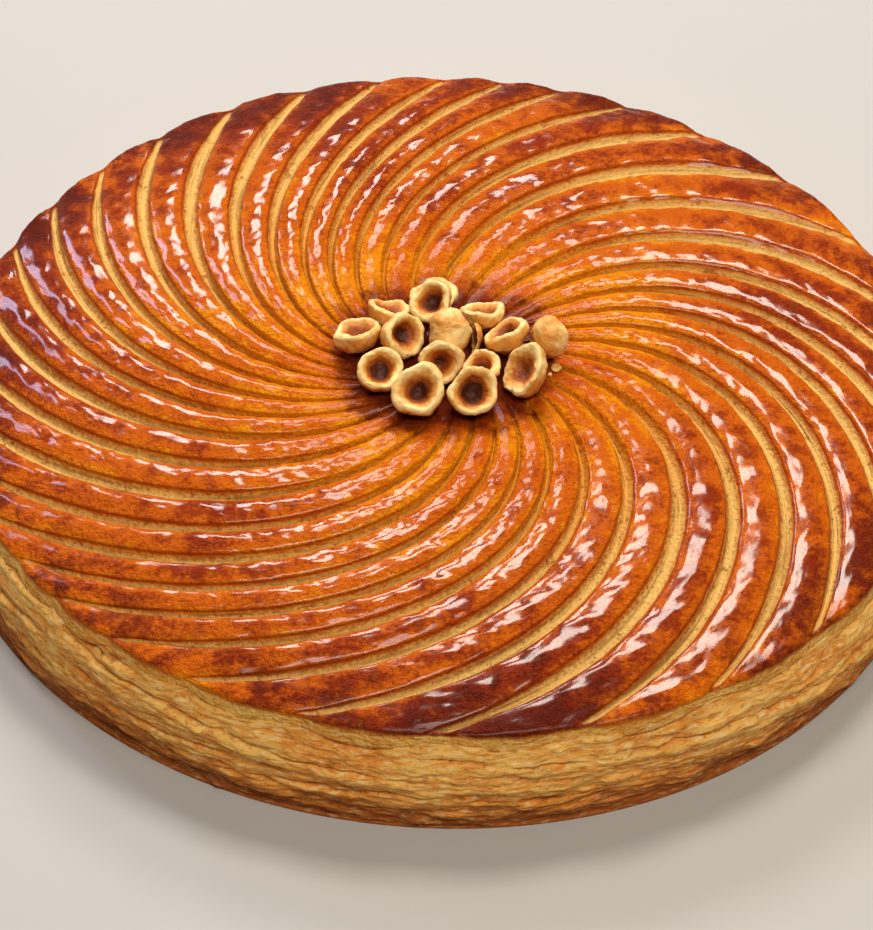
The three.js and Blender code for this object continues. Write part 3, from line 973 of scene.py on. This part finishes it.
def makeGlazeMaterial(crustGroup):
    material, tree, principled = newMaterial("eggGlaze")
    place = objectPlace(tree)
    ring = attribute(tree, "ring")
    wall = attribute(tree, "wall")
    crown = attribute(tree, "crown")
    lip = attribute(tree, "lip")
    ridge = attribute(tree, "ridge")
    wrinkle = attribute(tree, "wrinkle")
    lines = attribute(tree, "lines")
    patches = noise(tree, place, glaze["patchScale"], 3.0, 0.6)
    mottle = noise(tree, place, glaze["mottleScale"], 4.0, 0.65)
    fine = noise(tree, place, glaze["fineScale"], 3.0, 0.65)

    # browning of the ridges: stronger on crowns and towards the rim, in uneven patches
    brown = remap(ring, 0.15, 0.95) * 0.5 + (crown - 0.5) * 0.5 + 0.06
    brown = brown + (patches - 0.5) * 1.5 + (mottle - 0.5) * 1.6
    brown = brown + (ridge - 0.5) * 0.2 + (fine - 0.5) * 0.8
    # more browning at the back left and along the front left edge; painted light over the rest of the
    # left half, which is browned less so that it looks as bright as the better lit right
    x, y, _ = splitXyz(place)
    burnSide = remap(y * 0.6 - x * 0.8, 0.03, 0.13) * remap(ring, 0.5, 0.95)
    frontEdge = remap(x * -0.6 - y * 0.8, 0.05, 0.11) * remap(ring, 0.8, 0.96)
    # painted light: the last term takes brown off the left half
    brown = brown + burnSide * 0.28 + frontEdge * 0.14 - remap(x * -1.0, 0.0, 0.09) * 0.13
    ridgeColor = mixColor(tree, glaze["amber"], glaze["orange"], remap(brown, -0.1, 0.4))
    ridgeColor = mixColor(tree, ridgeColor, glaze["russet"], remap(brown, 0.42, 0.95))
    edgeBurn = remap(ring, 0.86, 0.98) * remap(patches + mottle * 0.5, 0.62, 0.86)
    burn = clamp01(remap(brown, 0.95, 1.35) + edgeBurn * 0.85)
    ridgeColor = mixColor(tree, ridgeColor, glaze["mahogany"], burn)

    # grooves: golden in the middle of the cake, pale towards the rim, with knife lines
    paleness = remap(ring + (lines - 0.5) * 0.3, 0.3, 0.75)
    grooveColor = mixColor(tree, glaze["grooveGold"], glaze["groovePale"], paleness)
    grooveColor = mixColor(tree, grooveColor, glaze["grooveOlive"], remap(lines, 0.5, 0.7) * 0.75)
    shade = attribute(tree, "shade") * remap(fine + lines * 0.5, 0.6, 0.85)
    grooveColor = mixColor(tree, grooveColor, glaze["grooveOlive"], shade * 0.7)
    crumbs = remap(mottle + fine * 0.5, 0.84, 0.96)
    grooveColor = mixColor(tree, grooveColor, glaze["grooveOlive"], crumbs * 0.7)
    cover = clamp01(remap(wall + (mottle - 0.5) * 0.4, 0.3, 0.85))
    color = mixColor(tree, grooveColor, ridgeColor, cover)
    cutEdge = remap(wall, 0.6, 0.85) * remap(wall, 0.9, 1.0, 1.0, 0.0) * remap(ring, 0.2, 0.6)
    color = mixColor(tree, color, glaze["russet"], cutEdge * 0.7)

    # painted shadow: the middle, under and between the nuts, is darkened to russet and mahogany
    heart = ring + (mottle - 0.5) * 0.2 + (patches - 0.5) * 0.12
    color = mixColor(tree, color, glaze["russet"], remap(heart, 0.2, 0.29, 0.85, 0.0))
    color = mixColor(tree, color, glaze["mahogany"], remap(heart, 0.17, 0.25, 0.9, 0.0))

    # the lip runs out into bare dough, with a tan line between
    dough = useGroup(tree, crustGroup, {"Height": 26.0, "Layer": 0.0, "Fine": 0.0, "Gap": 0.0})
    edge = lip + (mottle - 0.5) * 0.5
    color = mixColor(tree, color, glaze["edgeTan"], remap(edge, 0.05, 0.22))
    bare = remap(edge, 0.15, 0.38)
    color = mixColor(tree, color, dough["Color"], bare)
    plug(tree, principled.inputs["Base Color"], color)

    shine = cover * (1.0 - bare)
    roughness = mix(glaze["roughest"], glaze["smoothest"], shine) + (mottle - 0.5) * 0.2
    plug(tree, principled.inputs["Roughness"], roughness)
    calmCoat = remap(ring, 0.965, 1.0, 1.0, 0.25) * remap(ring, 0.22, 0.6, 0.15, 1.0)
    plug(tree, principled.inputs["Coat Weight"], shine * glaze["coat"] * calmCoat)
    principled.inputs["Coat Roughness"].default_value = glaze["coatRoughness"]
    principled.inputs["Specular IOR Level"].default_value = glaze["specular"]
    relief = (wrinkle - 0.5) * 0.8 * wall + (mottle - 0.5) * 0.5 + (fine - 0.5) * 1.7
    relief = relief + (lines - 0.5) * (1.0 - wall) * 1.4
    plug(tree, principled.inputs["Normal"], bump(tree, relief, glaze["bump"], 1.0 * mm))
    return material


hazel = {
    "cream": rgb(252, 218, 142),
    "tan": rgb(230, 160, 70),
    "brown": rgb(168, 80, 16),
    "dark": rgb(66, 22, 8),
    "patchScale": 150.0,
    "grainScale": 800.0,
    "bump": 0.5,
    "specular": 0.4,
}


def makeNutMaterial():
    material, tree, principled = newMaterial("roastedHazelnut")
    place = objectPlace(tree)
    depth = attribute(tree, "depth")
    rim = attribute(tree, "rim")
    back = attribute(tree, "back")
    seed = attribute(tree, "nutSeed")
    roast = attribute(tree, "roast")
    x, y, z = splitXyz(place)
    seeded = joinXyz(tree, x, y, z + seed * 0.03)
    patches = noise(tree, seeded, hazel["patchScale"], 3.0, 0.6)
    grain = noise(tree, seeded, hazel["grainScale"], 3.0, 0.65)
    # pale rims; backs browner, partly toasted skin and partly painted shade on the undersides; hollows
    # darkened to their middle, partly roast colour and partly painted shade
    toast = 0.5 + (patches - 0.5) * 2.4 + (grain - 0.5) * 0.8 - rim * 0.5 + back * roast - 0.1
    color = mixColor(tree, hazel["cream"], hazel["tan"], remap(toast, 0.0, 0.6))
    color = mixColor(tree, color, hazel["brown"], remap(toast, 0.62, 1.15) * 0.75)
    # partly painted shade: the hollow goes darker with its depth, to near black at its middle
    pit = depth * (0.9 + 0.7 * roast) + (patches - 0.5) * 0.8 + (grain - 0.5) * 0.3
    color = mixColor(tree, color, hazel["tan"], remap(pit, -0.05, 0.22))
    color = mixColor(tree, color, hazel["brown"], remap(pit, 0.2, 0.6))
    color = mixColor(tree, color, hazel["dark"], remap(pit, 0.62, 1.1) * 0.92)
    plug(tree, principled.inputs["Base Color"], color)
    plug(tree, principled.inputs["Roughness"], 0.45 + grain * 0.2)
    relief = patches * 0.6 + grain * 0.4
    plug(tree, principled.inputs["Normal"], bump(tree, relief, hazel["bump"], 0.6 * mm))
    principled.inputs["Specular IOR Level"].default_value = hazel["specular"]
    return material


# Studio: pale floor, soft lights, the photograph's camera

studio = {
    "floorSize": 8.0,
    "floorColor": rgb(186, 183, 178),
    "floorRoughness": 0.7,
    "worldColor": rgb(235, 238, 244),
    "worldStrength": 0.04,
    # name, place, size, watts, colour
    "lights": [
        ("key", (0.18, 0.8, 1.42), (0.5, 0.36), 16.0, (1.0, 0.93, 0.82)),
        ("back", (-0.12, 1.27, 0.98), (0.4, 0.32), 10.0, (1.0, 0.94, 0.88)),
        ("cool", (-0.82, 0.98, 0.78), (0.2, 0.8), 7.0, (0.7, 0.72, 1.0)),
        ("fill", (0.32, -0.8, 1.85), (1.1, 0.7), 25.5, (1.0, 0.95, 0.85)),
    ],
    "cameraBack": 585.3 * mm,
    "cameraHeight": 563.8 * mm,
    # turns in radians
    "pitch": 0.77145,
    "yaw": -0.00365,
    "roll": 0.02048,
    "focalPixels": 3053.0,
    "pictureHeight": 930.0,
    "sensorWidth": 36.0,
}


def makeStudio(shift):
    mesh = bpy.data.meshes.new("floor")
    half = studio["floorSize"] / 2
    corners = [(-half, -half, 0), (half, -half, 0), (half, half, 0), (-half, half, 0)]
    mesh.from_pydata(corners, [], [(0, 1, 2, 3)])
    floor = bpy.data.objects.new("floor", mesh)
    bpy.context.scene.collection.objects.link(floor)
    material, _, principled = newMaterial("paleFloor")
    principled.inputs["Base Color"].default_value = studio["floorColor"]
    principled.inputs["Roughness"].default_value = studio["floorRoughness"]
    mesh.materials.append(material)

    world = bpy.data.worlds.new("studio")
    bpy.context.scene.world = world
    world.use_nodes = True
    background = world.node_tree.nodes["Background"]
    background.inputs[0].default_value = studio["worldColor"]
    background.inputs[1].default_value = studio["worldStrength"]

    aim = Vector((shift.x, shift.y, cake["rimHeight"]))
    for name, place, size, watts, color in studio["lights"]:
        data = bpy.data.lights.new(name, "AREA")
        data.shape = "RECTANGLE"
        data.size, data.size_y = size
        data.energy = watts
        data.color = color
        light = bpy.data.objects.new(name, data)
        light.location = place
        light.rotation_euler = (aim - Vector(place)).to_track_quat("-Z", "Y").to_euler()
        bpy.context.scene.collection.objects.link(light)

    data = bpy.data.cameras.new("camera")
    data.sensor_width = studio["sensorWidth"]
    data.lens = studio["focalPixels"] * data.sensor_width / studio["pictureHeight"]
    data.clip_start = 10.0 * mm
    camera = bpy.data.objects.new("camera", data)
    pitch, yaw, roll = studio["pitch"], studio["yaw"], studio["roll"]
    flat = math.cos(pitch)
    forward = Vector((math.sin(yaw) * flat, math.cos(yaw) * flat, -math.sin(pitch)))
    right = forward.cross(Vector((0, 0, 1))).normalized()
    up = right.cross(forward)
    tiltedRight = right * math.cos(roll) + up * math.sin(roll)
    tiltedUp = up * math.cos(roll) - right * math.sin(roll)
    turn = Matrix((tiltedRight, tiltedUp, -forward)).transposed().to_4x4()
    place = Vector((shift.x, shift.y - studio["cameraBack"], studio["cameraHeight"]))
    camera.matrix_world = Matrix.Translation(place) @ turn
    bpy.context.scene.collection.objects.link(camera)
    bpy.context.scene.camera = camera
    bpy.context.scene.view_settings.view_transform = "Standard"
    print("studio made,", len(studio["lights"]), "lights")


# Build

crustGroup = makeCrustGroup()
lidPiece = makeLid(makeGlazeMaterial(crustGroup))
sidePiece = makeSide(makeSideMaterial(crustGroup))

# the trees grow the cake round the middle of its glaze, so it moves to where its solid is
low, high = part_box("galette")
shift = (low + high) / 2 - boxMiddle(sidePiece.data)
shift.z = 0
print("cake moved by", [round(part / mm, 2) for part in shift], "mm")
for piece, slot in ((lidPiece, "glaze"), (sidePiece, "crust")):
    piece.data.transform(Matrix.Translation(shift))
    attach(piece, "root")
    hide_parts("galette")

nutMaterial = makeNutMaterial()
for piece, node in makeNuts(nutMaterial):
    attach(piece, "root")
    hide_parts(node)

bpy.context.view_layer.update()
chips = makeChips(nutMaterial, lidPiece, shift)
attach(chips, "root")

makeStudio(shift)
